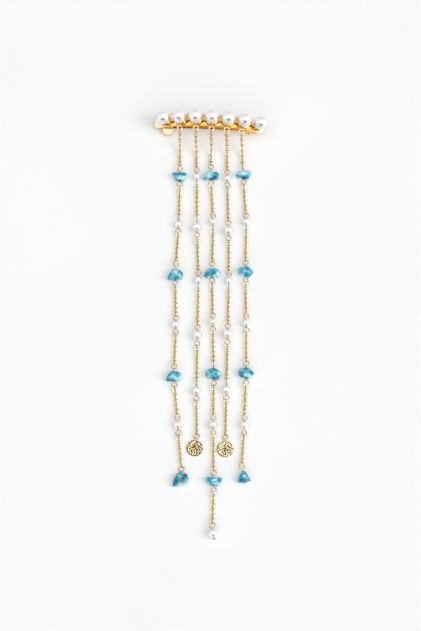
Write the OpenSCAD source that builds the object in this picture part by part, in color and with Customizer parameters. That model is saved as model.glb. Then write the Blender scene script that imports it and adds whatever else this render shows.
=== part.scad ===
// Pearl hair clip: a curved gold clip with seven pearls in cups and five strands of fine
// chain strung with pearls, stone chips and two textured discs. It lies on a table.
// X runs along the clip, Y from the strand ends to the clip, Z up from the table.
// The origin is on the table under the middle of the whole piece. Millimetres, degrees.

/* [Clip plate] */
// Width of the curved plate
plate_w = 7.2; // [7.1:0.1:7.4]
// Thickness of the plate
plate_t = 0.8; // [0.6:0.1:1]
// Length of the plate from the middle pearl to its catch end
plate_left = 32.4; // [32:0.1:34]
// Length of the plate from the middle pearl to its hinge end
plate_right = 29.4; // [29:0.1:30.5]
// Radius of the plate's curve, at the middle of its thickness
plate_r = 82.5; // [80:0.5:86]
// Height of the plate's middle above the table
plate_rise = 9; // [8.8:0.1:9.4]
// Turn of the clip against the strands
clip_turn = -3.6; // [-5:0.1:5]

/* [Clip pearls] */
// Diameter of the clip's pearls
clip_pearl_d = 7.9; // [7.2:0.1:8]
// Spacing of the clip's pearls along their row
clip_pearl_pitch = 9.3; // [9.1:0.1:9.5]
// Wall of the cup under each pearl
cup_t = 0.3; // [0.2:0.05:0.4]
// Distance of a strand's loop from the middle of its cup
loop_reach = 6.1; // [5.9:0.1:6.6]

/* [Clasp] */
// Place of the hinge along the clip
hinge_x = 21.5; // [20.5:0.5:22.5]
// Height of the hinge pin above the table
hinge_z = 1.9; // [1.8:0.1:2]
// Diameter of the hinge pin
hinge_pin_d = 1.2; // [1:0.1:1.2]
// Place of the catch along the clip
catch_x = -24.7; // [-25:0.1:-24]
// Width of the arm at its catch end
arm_w = 5.1; // [4.6:0.1:5.2]
// Thickness of the arm
arm_t = 0.8; // [0.6:0.1:0.9]

/* [Strands] */
// Diameter of the wire in the pins and eyes
wire_d = 0.5; // [0.4:0.05:0.6]
// Outer diameter of an eye
eye_d = 3.3; // [3:0.1:3.5]
// Width of the chain
chain_d = 1.9; // [1.7:0.1:2]
// Diameter of the hole through a bead
bore_d = 0.8; // [0.7:0.05:0.9]
// Diameter of the textured discs
disc_d = 8.8; // [8.6:0.1:9.2]
// Thickness of the textured discs without their relief
disc_t = 0.9; // [0.7:0.1:1.1]

/* [Hidden] */
FINE = 64;
COARSE = 32;
GOLD = [0.86, 0.66, 0.34];
PEARL = [0.95, 0.94, 0.92];
STONE = [0.16, 0.56, 0.68];

// Place of the middle pearl, which centres the whole piece on the origin
clip_x = 0.55;
clip_y = 114.43;
curve_z = plate_rise - plate_r;
catch_corner = 2.4;
hinge_corner = 3.5;
wing_t = 0.6;
catch_r = 3;
// The two tabs that are squeezed to open the catch: their round ends, reach, fall and root
tab_r = 2.6;
tab_reach = 4;
tab_fall = 22;
tab_z = 2.9;

cup_r = clip_pearl_d / 2 + 0.1 + cup_t;
cup_rim_drop = 2.2;
cup_foot_r = 1.6;
weld = 0.05;
pearl_row_r = plate_r + plate_t / 2 + cup_r - weld;
pearl_count = 7;
middle_pearl = 4;

loop_r = 1.75;
loop_hole_r = 1.05;
loop_t = 0.6;
loop_neck_w = 1.2;
loop_drop = 2.6;
// Turn of the loop on its cup, one for each strand
loop_fans = [1, 2, 0, -4, -10];

// The ears that hold the hinge pin, and the arm's curl between them
ear_w = 5.8;
running_gap = 0.05;
barrel_r = 1.4;
barrel_w = ear_w - 2 * wing_t - 0.4;
arm_r = 170;
arm_mid_z = 3.4;
arm_corner = 1;
arm_end_x = catch_x - 2.7;
detent_r = 0.3;
detent_z = 0.95;
detent_l = 3;
pin_head_r = 1;
pin_head_t = 0.4;

wire_r = wire_d / 2;
pin_r = wire_r - 0.02;
eye_r = eye_d / 2;
eye_neck = 0.35;
// The heads under the beads that end a strand: on the bent pin and on the straight ones
bent_head_r = 0.9;
end_head_r = 0.6;
end_head_t = 0.35;
touch_gap = 0.15;
chain_sides = 8;
chain_low = chain_d / 2 + 0.03;
// Fall of the chain from its loop: distance from the loop, share of the loop's height
chain_fall = [[2, 0.94], [4.2, 0.68], [7, 0.38], [10.5, 0.13], [14.5, 0]];
// Shares of a stretch between two beads at which the chain has a ring
chain_stops = [0, 0.2, 0.8, 1];

bail_r = 1.02;
bail_wire_r = 0.22;
ridge_r = 0.38;
ridge_sink = 0.08;

// Stone chips seen from above, as corners on a square of half width 1
DOME = [[-1, -0.75], [-0.8, 0.05], [-0.35, 0.85], [0.15, 0.8], [0.8, 0.4], [1, -0.1], [0.8, -0.95],
    [-0.75, -1]];
WEDGE = [[-1, 0.85], [-0.45, 0.8], [0.5, 0.85], [1, 0.7], [0.85, 0], [0.5, -0.95], [-0.35, -0.85],
    [-0.85, 0.1]];
KITE = [[-1, 0.25], [-0.75, 0.7], [-0.1, 1], [0.35, 0.8], [1, -0.05], [0.5, -1], [-0.2, -0.8],
    [-0.8, -0.5]];
STUB = [[-1, 0], [-0.6, 0.7], [0.1, 0.85], [0.95, 0.75], [1, 0], [0.65, -0.95], [-0.2, -0.8],
    [-0.8, -0.55]];
TOOTH = [[0.15, 1], [0.5, 0.6], [0.75, -0.1], [1, -0.9], [0.4, -1], [-0.7, -0.95], [-1, -0.7],
    [-0.6, 0.2]];
DROP = [[-1, -1], [-0.85, -0.1], [-0.4, 0.8], [0.2, 1], [0.8, 0.65], [1, 0], [0.75, -0.65],
    [0, -0.9]];
// Layers of a chip from its top to its foot: height, breadth, shift across and along
CHIP_LAYERS = [[0.5, 0.5, 0.06, -0.1], [0.28, 0.88, 0.03, -0.03], [-0.1, 1, 0, 0], [-0.34, 0.86, 0, 0],
    [-0.5, 0.52, -0.04, 0.05]];
// Breadth and length of the dimple where a chip's hole comes out
dimple_r = 1.5;
dimple_l = 2;
// Every chip: outline, width, length, height
chips = [[WEDGE, 9, 5.5, 4.6], [DOME, 8.5, 6.9, 5], [DOME, 8.9, 6.2, 4.8], [DROP, 8.5, 7.5, 4.2],
    [DOME, 9.3, 5.8, 4.6], [DOME, 9, 6.2, 4.8], [KITE, 9, 6.7, 5], [WEDGE, 9, 5.2, 4.8],
    [STUB, 8.2, 5.4, 4.6], [KITE, 8.7, 6.5, 4.8], [KITE, 8.6, 6.7, 5], [TOOTH, 6.9, 6.4, 4.4]];

// The five strands, from left to right and each from the clip down: kind, how far right and
// down from the middle pearl, diameter or number of the chip, lean of the eye above and
// below it, twist of its pin
strands = [
    [["chip", -18, 31.6, 0, 0, 10, 0], ["pearl", -18.5, 60.6, 4, 90, 0, 0],
        ["chip", -20, 90.1, 1, 20, 0, 0],
        ["pearl", -19.6, 119.6, 4, 0, 20, 0], ["chip", -20.2, 148.6, 2, 0, 20, 0],
        ["pearl", -18.1, 176.1, 4.2, 20, 0, 0], ["chip", -16.5, 205.2, 3, 0, 0, 0]],
    [["pearl", -8.5, 31.6, 4, 0, 90, 0], ["pearl", -8.3, 62.6, 5.3, 90, 0, 0],
        ["pearl", -7.5, 93.6, 4, 0, 90, 0],
        ["pearl", -8, 125.8, 5.3, 0, 20, 0], ["pearl", -8.3, 157.1, 4.4, 90, 0, 0],
        ["disc", -9.2, 188.2, 0, 0, 0, -8]],
    [["chip", -0.6, 30.4, 4, 0, 0, 0], ["pearl", 0.5, 59.1, 4, 20, 90, 0], ["chip", 0, 89.1, 5, 0, 20, 0],
        ["pearl", 0.3, 118.1, 4, 0, 0, 0], ["chip", 0.8, 147.6, 6, 90, 0, 0],
        ["pearl", 0.5, 176.1, 4.4, 0, 20, 0],
        ["chip", 0.7, 206.6, 7, 0, 20, 0], ["pearl", 0.6, 234.4, 5, 0, 0, 8]],
    [["pearl", 8.5, 32.6, 4, 0, 20, 0], ["pearl", 9, 64.6, 5.3, 0, 0, 0], ["pearl", 9, 94.1, 4, 20, 90, 0],
        ["pearl", 8.3, 125.1, 5.3, 0, 0, 0], ["pearl", 7.5, 156.6, 4.4, 90, 0, 0],
        ["disc", 6.8, 188.7, 0, 0, 0, 0]],
    [["chip", 17.3, 30.3, 8, 90, 0, 0], ["pearl", 18.7, 59.1, 4, 0, 90, 0], ["chip", 18.2, 88.8, 9, 0, 20, 0],
        ["pearl", 18.3, 118.6, 4, 20, 0, 0], ["chip", 18, 147.1, 10, 0, 0, 0],
        ["pearl", 16.8, 176.1, 4.2, 0, 20, 0], ["chip", 16.1, 203.8, 11, 20, 0, 10]]];
// The chip that ends the first strand hangs on a bent pin: its head, its bend and its eye
bent_strand = 0;
bent_head = [clip_x - 15.4, clip_y - 206.5, 4.35];
bent_turn = [clip_x - 15.9, clip_y - 202, 0.7];
bent_eye = [clip_x - 16, clip_y - 199.5, 0.7];
bent_way = (bent_head - bent_turn) / norm(bent_head - bent_turn);

// The ridges on a disc: x, y, turn, length
ridges = [[-1.8, -0.9, 28, 2], [-2.3, 0.2, 28, 2.8], [-2.2, 1.4, 28, 2.8], [-1.6, 2.6, 28, 2.6],
    [-0.6, 3.6, 28, 1.2], [0.5, 2.5, -40, 1.2], [1.7, 3, -40, 1.6], [0.8, 1.2, -40, 1.2],
    [2.2, 1.8, -40, 1.6], [3.4, 1.2, -40, 1.2], [1.4, 0.1, -35, 1.3], [3, 0, -35, 1.4],
    [-3, -1.8, -60, 1.4], [-1.8, -2.5, -65, 1.7], [-0.6, -1.9, -75, 1.3], [-0.5, -3.5, -85, 1],
    [0.6, -1.3, 80, 1.2], [0.8, -3, 75, 1.5], [2, -1.4, 45, 1.4], [2.2, -2.8, 55, 1.3],
    [3.4, -1.3, 45, 1.1]];

// Where things are on the strands
function kind_of(s, k) = strands[s][k][0];
function at(s, k) = [clip_x + strands[s][k][1], clip_y - strands[s][k][2]];
function last(s) = len(strands[s]) - 1;
function cup_turn(i) = (i - middle_pearl) * clip_pearl_pitch / pearl_row_r * 180 / PI;
function turned(p, a) = [p.x * cos(a) - p.y * sin(a), p.x * sin(a) + p.y * cos(a), p.z];
function loop_at(s) =
    let (a = cup_turn(s + 2), r = pearl_row_r - loop_drop, side = loop_reach * sin(loop_fans[s]))
    [clip_x, clip_y, 0] + turned([r * sin(a) + side * cos(a), -loop_reach * cos(loop_fans[s]),
        curve_z + r * cos(a) - side * sin(a)], clip_turn);
function plan(p) = [p.x, p.y];
function unit(v) = v / norm(v);
// The way a strand runs at a bead, from the clip down, with the twist of the bead's pin
function strand_way(s, k) =
    unit((k == last(s) ? at(s, k) : at(s, k + 1)) - (k == 0 ? plan(loop_at(s)) : at(s, k - 1)));
function way(s, k) = plan(turned([each strand_way(s, k), 0], strands[s][k][6]));
function turn_of(s, k) = atan2(way(s, k).x, -way(s, k).y);
function height(s, k) = kind_of(s, k) == "pearl" ? strands[s][k][3] / 2
    : kind_of(s, k) == "chip" ? chips[strands[s][k][3]][3] / 2 : bail_r;
// Half the length of a bead along its strand
function half(s, k) = kind_of(s, k) == "pearl" ? strands[s][k][3] / 2
    : kind_of(s, k) == "chip" ? chips[strands[s][k][3]][2] / 2 : disc_d / 2;
function eye_step(s, k) = half(s, k) + eye_neck + eye_r;
function is_bent(s, k) = s == bent_strand && k == last(s);
// The bail's middle and the jump ring's middle above a disc
bail_step = disc_d / 2 + bail_r - 0.4;
ring_step = bail_step + eye_r - wire_r;
function eye_above(s, k) = is_bent(s, k) ? bent_eye
    : let (p = at(s, k) - way(s, k) * (kind_of(s, k) == "disc" ? ring_step : eye_step(s, k)))
    [p.x, p.y, height(s, k)];
function eye_below(s, k) = let (p = at(s, k) + way(s, k) * eye_step(s, k)) [p.x, p.y, height(s, k)];

// The middle line of the chain above bead k
function chain_line(s, k) = k == 0 ? first_line(s) : next_line(s, k);
function first_line(s) =
    let (a = loop_at(s), b = eye_above(s, 0), w = unit(plan(b - a)),
        e = b - (eye_r + touch_gap) * [w.x, w.y, 0])
    concat([for (f = chain_fall) [a.x + w.x * f[0], a.y + w.y * f[0], chain_low + (a.z - chain_low) * f[1]]],
        [[e.x, e.y, max(chain_low, e.z - 0.2)]]);
function next_line(s, k) =
    let (a = eye_below(s, k - 1), b = eye_above(s, k), w = unit(plan(b - a)),
        p = plan(a) + (eye_r + touch_gap) * w, q = plan(b) - (eye_r + touch_gap) * w)
    [for (t = chain_stops) let (m = p + (q - p) * t)
        [m.x, m.y, t == 0 ? max(chain_low, a.z - 0.2) : t == 1 ? max(chain_low, b.z - 0.2) : chain_low]];

// One ring of a tube, square to the way it runs
function tube_ring(p, w, r) =
    let (across = unit([-w.y, w.x, 0]), up = cross(w, across))
    [for (i = [0:chain_sides - 1]) let (a = 360 * (i + 0.5) / chain_sides)
        p + r * (across * cos(a) + up * sin(a))];
function tube_way(line, i) = unit(line[min(i + 1, len(line) - 1)] - line[max(i - 1, 0)]);

// Names
function strand_name(s) = str("strand_", s + 1);
function same_before(s, k) = len([for (j = [0:k]) if (kind_of(s, j) == kind_of(s, k)) j]);
function bead_name(s, k) = str(strand_name(s), "_", kind_of(s, k),
    kind_of(s, k) == "disc" ? "" : str("_", same_before(s, k)));

// Places for other modules' shapes
module on_clip() translate([clip_x, clip_y, 0]) rotate([0, 0, clip_turn]) children();
module at_cup(i) translate([0, 0, curve_z]) rotate([0, cup_turn(i), 0])
    translate([0, 0, pearl_row_r]) children();
module across_clip(x, z) translate([x, 0, z]) rotate([90, 0, 0]) children();
module at_bead(s, k) translate([at(s, k).x, at(s, k).y, height(s, k)])
    rotate([0, 0, turn_of(s, k)]) children();

// The curved plate with its cups, loops, hinge ears and catch, all soldered
module plate_outline() hull() for (side = [-1, 1]) {
    translate([catch_corner - plate_left, side * (plate_w / 2 - catch_corner)])
        circle(r = catch_corner, $fn = FINE);
    translate([plate_right - hinge_corner, side * (plate_w / 2 - hinge_corner)])
        circle(r = hinge_corner, $fn = FINE);
}
module plate_strip() intersection() {
    across_clip(0, curve_z) difference() {
        cylinder(r = plate_r + plate_t / 2, h = plate_w, center = true, $fn = 4 * FINE);
        cylinder(r = plate_r - plate_t / 2, h = plate_w + 1, center = true, $fn = 4 * FINE);
    }
    linear_extrude(plate_rise + plate_t) plate_outline();
}
module cup() {
    rotate_extrude($fn = FINE) intersection() {
        difference() {
            circle(r = cup_r, $fn = FINE);
            circle(r = cup_r - cup_t, $fn = FINE);
        }
        translate([0, -cup_r]) square([cup_r, cup_r - cup_rim_drop]);
    }
    translate([0, 0, -pearl_row_r + plate_r])
        cylinder(r = cup_foot_r, h = plate_t / 2 + cup_t * 0.6, $fn = COARSE);
}
module cup_loop(fan) rotate([0, 0, fan]) translate([0, 0, -loop_drop]) {
    translate([0, -loop_reach, 0]) difference() {
        cylinder(r = loop_r, h = loop_t, center = true, $fn = COARSE);
        cylinder(r = loop_hole_r, h = loop_t + 1, center = true, $fn = COARSE);
    }
    translate([-loop_neck_w / 2, -loop_reach + loop_hole_r + weld, -loop_t / 2])
        cube([loop_neck_w, loop_reach - loop_hole_r - sqrt(cup_r ^ 2 - loop_drop ^ 2) + cup_t / 2, loop_t]);
}
// Two side walls that stand under the plate, with round feet
module wings(x, r, w) intersection() {
    for (side = [-1, 1]) translate([0, side * (w - wing_t) / 2, 0]) {
        across_clip(x, r) cylinder(r = r, h = wing_t, center = true, $fn = FINE);
        translate([x, 0, r + plate_rise / 2]) cube([2 * r, wing_t, plate_rise], center = true);
    }
    across_clip(0, curve_z) cylinder(r = plate_r, h = plate_w + 1, center = true, $fn = 4 * FINE);
}
// Round-ended tabs that lean out and down from the catch's side walls
module catch_tabs() for (side = [-1, 1]) translate([catch_x, side * (plate_w / 2 - wing_t / 2), tab_z])
    rotate([-side * tab_fall, 0, 0]) linear_extrude(wing_t, center = true) {
        translate([0, side * (tab_reach - tab_r)]) circle(r = tab_r, $fn = FINE);
        translate([0, side * (tab_reach - tab_r) / 2]) square([2 * tab_r, tab_reach - tab_r], center = true);
    }
module clip_plate() color(GOLD) on_clip() difference() {
    union() {
        plate_strip();
        for (i = [1:pearl_count]) at_cup(i) cup();
        for (s = [0:len(strands) - 1]) at_cup(s + 2) cup_loop(loop_fans[s]);
        wings(hinge_x, hinge_z, ear_w);
        wings(catch_x, catch_r, plate_w);
        catch_tabs();
        for (side = [-1, 1]) translate([catch_x, side * (plate_w / 2 - wing_t), detent_z])
            rotate([0, 90, 0]) cylinder(r = detent_r, h = detent_l, center = true, $fn = COARSE);
    }
    across_clip(hinge_x, hinge_z)
        cylinder(d = hinge_pin_d + 2 * running_gap, h = plate_w + 1, center = true, $fn = COARSE);
}

module hinge_pin() color(GOLD) on_clip() across_clip(hinge_x, hinge_z) {
    cylinder(d = hinge_pin_d, h = ear_w + pin_head_t, center = true, $fn = COARSE);
    for (side = [-1, 1]) translate([0, 0, side * (ear_w / 2 + running_gap + pin_head_t / 2)])
        cylinder(r = pin_head_r, h = pin_head_t, center = true, $fn = COARSE);
}

// The arm under the plate, curled round the hinge pin and held in the catch
module arm_outline() hull() {
    translate([hinge_x - barrel_r, -barrel_w / 2]) square([barrel_r, barrel_w]);
    for (side = [-1, 1]) translate([arm_end_x + arm_corner, side * (arm_w / 2 - arm_corner)])
        circle(r = arm_corner, $fn = COARSE);
}
module arm_strip() intersection() {
    across_clip((hinge_x + catch_x) / 2, arm_mid_z - arm_r) difference() {
        cylinder(r = arm_r + arm_t / 2, h = arm_w, center = true, $fn = 8 * FINE);
        cylinder(r = arm_r - arm_t / 2, h = arm_w + 1, center = true, $fn = 8 * FINE);
    }
    linear_extrude(arm_mid_z + arm_t) arm_outline();
}
module clip_arm() color(GOLD) on_clip() difference() {
    union() {
        arm_strip();
        across_clip(hinge_x, hinge_z) cylinder(r = barrel_r, h = barrel_w, center = true, $fn = FINE);
    }
    across_clip(hinge_x, hinge_z)
        cylinder(d = hinge_pin_d + 2 * running_gap, h = plate_w, center = true, $fn = COARSE);
}

module clip_pearl(i) color(PEARL) on_clip() at_cup(i) sphere(d = clip_pearl_d, $fn = FINE);

// Beads
module bead_bore(l) rotate([90, 0, 0]) cylinder(d = bore_d, h = l, center = true, $fn = COARSE);
module strand_pearl(s, k) color(PEARL) at_bead(s, k) difference() {
    sphere(r = half(s, k), $fn = FINE);
    bead_bore(4 * half(s, k));
}
module nugget(outline, w, l, h) hull() for (layer = CHIP_LAYERS)
    translate([layer[2] * w, layer[3] * l, h * layer[0] * 0.99]) linear_extrude(0.02, center = true)
        scale([w / 2 * layer[1], l / 2 * layer[1]]) polygon(outline);
module rod(a, b, r) translate(a) rotate([0, acos((b - a).z / norm(b - a)), atan2((b - a).y, (b - a).x)])
    cylinder(r = r, h = norm(b - a), $fn = COARSE);
module strand_chip(s, k) {
    chip = chips[strands[s][k][3]];
    color(STONE) difference() {
        at_bead(s, k) nugget(chip[0], chip[1], chip[2], chip[3]);
        if (is_bent(s, k)) {
            rod(2 * bent_head - bent_turn, 2 * bent_turn - bent_head, bore_d / 2);
            rod(bent_head - bent_way * touch_gap, bent_head + bent_way * dimple_l, dimple_r);
        }
        else at_bead(s, k) {
            bead_bore(4 * half(s, k));
            for (side = [-1, 1]) translate([0, side * half(s, k), 0]) rotate([-side * 90, 0, 0])
                cylinder(r1 = bore_d / 2, r2 = dimple_r, h = dimple_l, center = true, $fn = COARSE);
        }
    }
}
module strand_disc(s, k) color(GOLD) at_bead(s, k) {
    difference() {
        union() {
            translate([0, 0, -bail_r + 0.05]) cylinder(d = disc_d, h = disc_t, $fn = FINE);
            translate([0, 0, disc_t + 0.05 - bail_r - ridge_sink]) for (r = ridges) translate([r[0], r[1], 0])
                rotate([90, 0, r[2] + 90]) cylinder(r = ridge_r, h = r[3], center = true, $fn = 6);
        }
        translate([0, 0, -bail_r - 1]) cylinder(d = disc_d + 4, h = 1.05, $fn = FINE);
    }
    translate([0, bail_step, 0]) rotate([0, 90, 0]) ring(bail_r - bail_wire_r, bail_wire_r);
}

// Wire pins with an eye at each end, one through every bead of a strand
module ring(r, wire) rotate_extrude($fn = FINE) translate([r, 0]) circle(r = wire, $fn = COARSE);
module eye(lean) rotate([0, lean, 0]) ring(eye_r - wire_r, wire_r);
module straight_pin(s, k) at_bead(s, k) {
    up = eye_step(s, k);
    top = up - eye_r + wire_r;
    ended = k == last(s);
    low = ended ? half(s, k) + touch_gap + end_head_t : top;
    translate([0, -low, 0]) rotate([-90, 0, 0]) cylinder(r = pin_r, h = low + top, $fn = COARSE);
    translate([0, up, 0]) eye(strands[s][k][4]);
    if (ended) translate([0, -low, 0]) rotate([-90, 0, 0])
        cylinder(r = end_head_r, h = end_head_t, $fn = COARSE);
    else translate([0, -up, 0]) eye(strands[s][k][5]);
}
module bent_pin() {
    rod(bent_head, bent_turn, pin_r);
    translate(bent_turn) sphere(r = wire_r + 0.04, $fn = COARSE);
    rod(bent_turn, bent_eye + unit(bent_turn - bent_eye) * (eye_r - wire_r), pin_r);
    translate(bent_eye) ring(eye_r - wire_r, wire_r);
    rod(bent_head, bent_head + end_head_t * unit(bent_head - bent_turn), bent_head_r);
}
module strand_pins(s) color(GOLD) for (k = [0:last(s)])
    if (kind_of(s, k) == "disc") translate(eye_above(s, k)) ring(eye_r - wire_r, wire_r);
    else if (is_bent(s, k)) bent_pin();
    else straight_pin(s, k);

// The outer form of each stretch of cable chain
module tube(line, r) {
    n = chain_sides;
    points = [for (i = [0:len(line) - 1]) each tube_ring(line[i], tube_way(line, i), r)];
    sides = [for (i = [0:len(line) - 2]) for (j = [0:n - 1])
        [i * n + j, i * n + (j + 1) % n, (i + 1) * n + (j + 1) % n, (i + 1) * n + j]];
    ends = [[for (j = [n - 1:-1:0]) j], [for (j = [0:n - 1]) (len(line) - 1) * n + j]];
    polyhedron(points, concat(sides, ends));
}
module strand_chain(s) color(GOLD) for (k = [0:last(s)]) tube(chain_line(s, k), chain_d / 2);

clip_plate();
clip_arm();
hinge_pin();
for (i = [1:pearl_count]) clip_pearl(i);
for (s = [0:len(strands) - 1]) {
    strand_chain(s);
    strand_pins(s);
    for (k = [0:last(s)]) union() {
        if (kind_of(s, k) == "pearl") strand_pearl(s, k);
        if (kind_of(s, k) == "chip") strand_chip(s, k);
        if (kind_of(s, k) == "disc") strand_disc(s, k);
    }
}
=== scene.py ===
import math
import random

import bmesh
import bpy
from mathutils import Matrix, Vector, noise


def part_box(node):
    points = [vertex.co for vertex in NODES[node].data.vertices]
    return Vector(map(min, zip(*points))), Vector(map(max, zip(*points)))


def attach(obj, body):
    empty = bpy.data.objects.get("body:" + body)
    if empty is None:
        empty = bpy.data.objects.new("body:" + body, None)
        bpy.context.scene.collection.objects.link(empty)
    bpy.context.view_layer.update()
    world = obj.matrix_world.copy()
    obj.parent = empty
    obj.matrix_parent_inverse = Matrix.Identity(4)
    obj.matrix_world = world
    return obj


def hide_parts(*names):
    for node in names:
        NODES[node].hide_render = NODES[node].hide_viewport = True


# A pearl hair clip lying on pale paper, with five strands of fine chain, pearls, stones and discs
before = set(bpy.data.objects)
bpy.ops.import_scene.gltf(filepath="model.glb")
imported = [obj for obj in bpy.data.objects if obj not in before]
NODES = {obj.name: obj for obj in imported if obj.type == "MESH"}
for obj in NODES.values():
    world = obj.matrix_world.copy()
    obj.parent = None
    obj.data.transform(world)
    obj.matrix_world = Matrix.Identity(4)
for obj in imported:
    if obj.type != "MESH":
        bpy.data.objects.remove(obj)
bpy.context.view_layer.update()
rng = random.Random(11)
STRAND_BODY = "clip_and_strands"
ARM_BODY = "arm"

# Sizes and places, in millimetres, as in the part's own source
MM = 0.001
CLIP_X, CLIP_Y = 0.55, 114.43
CLIP_TURN = math.radians(-3.6)
PLATE_W, PLATE_T, PLATE_LEFT, PLATE_RIGHT = 7.2, 0.8, 32.4, 29.4
PLATE_R, PLATE_RISE = 82.5, 9
CURVE_Z = PLATE_RISE - PLATE_R
CATCH_CORNER, HINGE_CORNER = 2.4, 3.5
CUP_PITCH, CUP_ROW_R, CUP_COUNT = 9.3, 87.2, 7
CUP_R, CUP_T, CUP_RIM_DROP, CUP_FOOT_R = 4.35, 0.3, 2.2, 1.6
LOOP_REACH, LOOP_DROP = 6.1, 2.6
LOOP_R, LOOP_HOLE_R, LOOP_T, LOOP_NECK_W = 1.75, 1.05, 0.6, 1.2
HINGE_X, HINGE_Z, EAR_W = 21.5, 1.9, 5.8
CATCH_X, CATCH_R, WALL_T = -24.7, 3, 0.6
TAB_R, TAB_REACH, TAB_FALL, TAB_Z = 2.6, 4, math.radians(22), 2.9
DETENT_R, DETENT_Z, DETENT_L = 0.3, 0.95, 3
ARM_W, ARM_T, ARM_R, ARM_MID_Z, ARM_CORNER = 5.1, 0.8, 170, 3.4, 1
ARM_PAST_CATCH = 2.7
BARREL_R, BARREL_W = 1.4, 4.2
# How far each strand's loop is turned aside, in degrees
LOOP_FANS = [1, 2, 0, -4, -10]
WIRE_R, EYE_R, EYE_NECK, TOUCH_GAP = 0.25, 1.65, 0.35, 0.15
# A chain falls from its loop to the table: how far out, and the share of the height that is left. Between
# two beads it starts EYE_DROP lower than the eye, and lies level from one share of the way to the other
CHAIN_LOW = 0.98
CHAIN_FALL = [(2, 0.94), (4.2, 0.68), (7, 0.38), (10.5, 0.13), (14.5, 0)]
CHAIN_LEVEL = (0.2, 0.8)
EYE_DROP = 0.2
DISC_D, BAIL_R, BAIL_WIRE_R = 8.8, 1.02, 0.22
BAIL_STEP = DISC_D / 2 + BAIL_R - 0.4
RING_STEP = BAIL_STEP + EYE_R - WIRE_R
# Length and height of every stone chip
CHIP_SIZES = [(5.5, 4.6), (6.9, 5), (6.2, 4.8), (7.5, 4.2), (5.8, 4.6), (6.2, 4.8), (6.7, 5),
    (5.2, 4.8), (5.4, 4.6), (6.5, 4.8), (6.7, 5), (6.4, 4.4)]
# How much paler or deeper each stone is than the others, from -1 to 1
CHIP_TONES = [0, 0.3, 0.2, -1.4, 0.8, 1, 0.5, -0.3, 0.2, 0.8, 0.6, -1]
# The strands from left to right, each from the clip down. KIND is pearl, chip or disc, RIGHT and DOWN
# are from the middle of the clip, SIZE is a pearl's diameter or a chip's number, and TWIST turns the pin
KIND, RIGHT, DOWN, SIZE, TWIST = range(5)
STRANDS = [
    [("chip", -18, 31.6, 0, 0), ("pearl", -18.5, 60.6, 4, 0), ("chip", -20, 90.1, 1, 0),
        ("pearl", -19.6, 119.6, 4, 0), ("chip", -20.2, 148.6, 2, 0), ("pearl", -18.1, 176.1, 4.2, 0),
        ("chip", -16.5, 205.2, 3, 0)],
    [("pearl", -8.5, 31.6, 4, 0), ("pearl", -8.3, 62.6, 5.3, 0), ("pearl", -7.5, 93.6, 4, 0),
        ("pearl", -8, 125.8, 5.3, 0), ("pearl", -8.3, 157.1, 4.4, 0), ("disc", -9.2, 188.2, 0, -8)],
    [("chip", -0.6, 30.4, 4, 0), ("pearl", 0.5, 59.1, 4, 0), ("chip", 0, 89.1, 5, 0),
        ("pearl", 0.3, 118.1, 4, 0), ("chip", 0.8, 147.6, 6, 0), ("pearl", 0.5, 176.1, 4.4, 0),
        ("chip", 0.7, 206.6, 7, 0), ("pearl", 0.6, 234.4, 5, 8)],
    [("pearl", 8.5, 32.6, 4, 0), ("pearl", 9, 64.6, 5.3, 0), ("pearl", 9, 94.1, 4, 0),
        ("pearl", 8.3, 125.1, 5.3, 0), ("pearl", 7.5, 156.6, 4.4, 0), ("disc", 6.8, 188.7, 0, 0)],
    [("chip", 17.3, 30.3, 8, 0), ("pearl", 18.7, 59.1, 4, 0), ("chip", 18.2, 88.8, 9, 0),
        ("pearl", 18.3, 118.6, 4, 0), ("chip", 18, 147.1, 10, 0), ("pearl", 16.8, 176.1, 4.2, 0),
        ("chip", 16.1, 203.8, 11, 10)]]
BENT_STRAND = 0
BENT_HEAD = Vector((CLIP_X - 15.4, CLIP_Y - 206.5, 4.35))
BENT_TURN = Vector((CLIP_X - 15.9, CLIP_Y - 202, 0.7))
BENT_EYE = Vector((CLIP_X - 16, CLIP_Y - 199.5, 0.7))
# The main ridges on a disc: x, y, turn, length
RIDGES = [(-1.8, -0.9, 28, 2), (-2.3, 0.2, 28, 2.8), (-2.2, 1.4, 28, 2.8), (-1.6, 2.6, 28, 2.6),
    (-0.6, 3.6, 28, 1.2), (0.5, 2.5, -40, 1.2), (1.7, 3, -40, 1.6), (0.8, 1.2, -40, 1.2),
    (2.2, 1.8, -40, 1.6), (3.4, 1.2, -40, 1.2), (1.4, 0.1, -35, 1.3), (3, 0, -35, 1.4),
    (-3, -1.8, -60, 1.4), (-1.8, -2.5, -65, 1.7), (-0.6, -1.9, -75, 1.3), (-0.5, -3.5, -85, 1),
    (0.6, -1.3, 80, 1.2), (0.8, -3, 75, 1.5), (2, -1.4, 45, 1.4), (2.2, -2.8, 55, 1.3),
    (3.4, -1.3, 45, 1.1)]


# Camera at the photograph's angle
CAMERA_TILT = math.radians(21)
CAMERA_AWAY = 0.9
AIM = Vector((-0.00035, 0.00093, 0))
camera_data = bpy.data.cameras.new("camera")
camera_data.sensor_width = 36
camera_data.lens = 95
camera_data.clip_start, camera_data.clip_end = 0.01, 20
camera = bpy.data.objects.new("camera", camera_data)
camera.location = AIM + CAMERA_AWAY * Vector((0, -math.sin(CAMERA_TILT), math.cos(CAMERA_TILT)))
camera.rotation_euler = (CAMERA_TILT, 0, 0)
bpy.context.scene.collection.objects.link(camera)
bpy.context.scene.camera = camera


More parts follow.
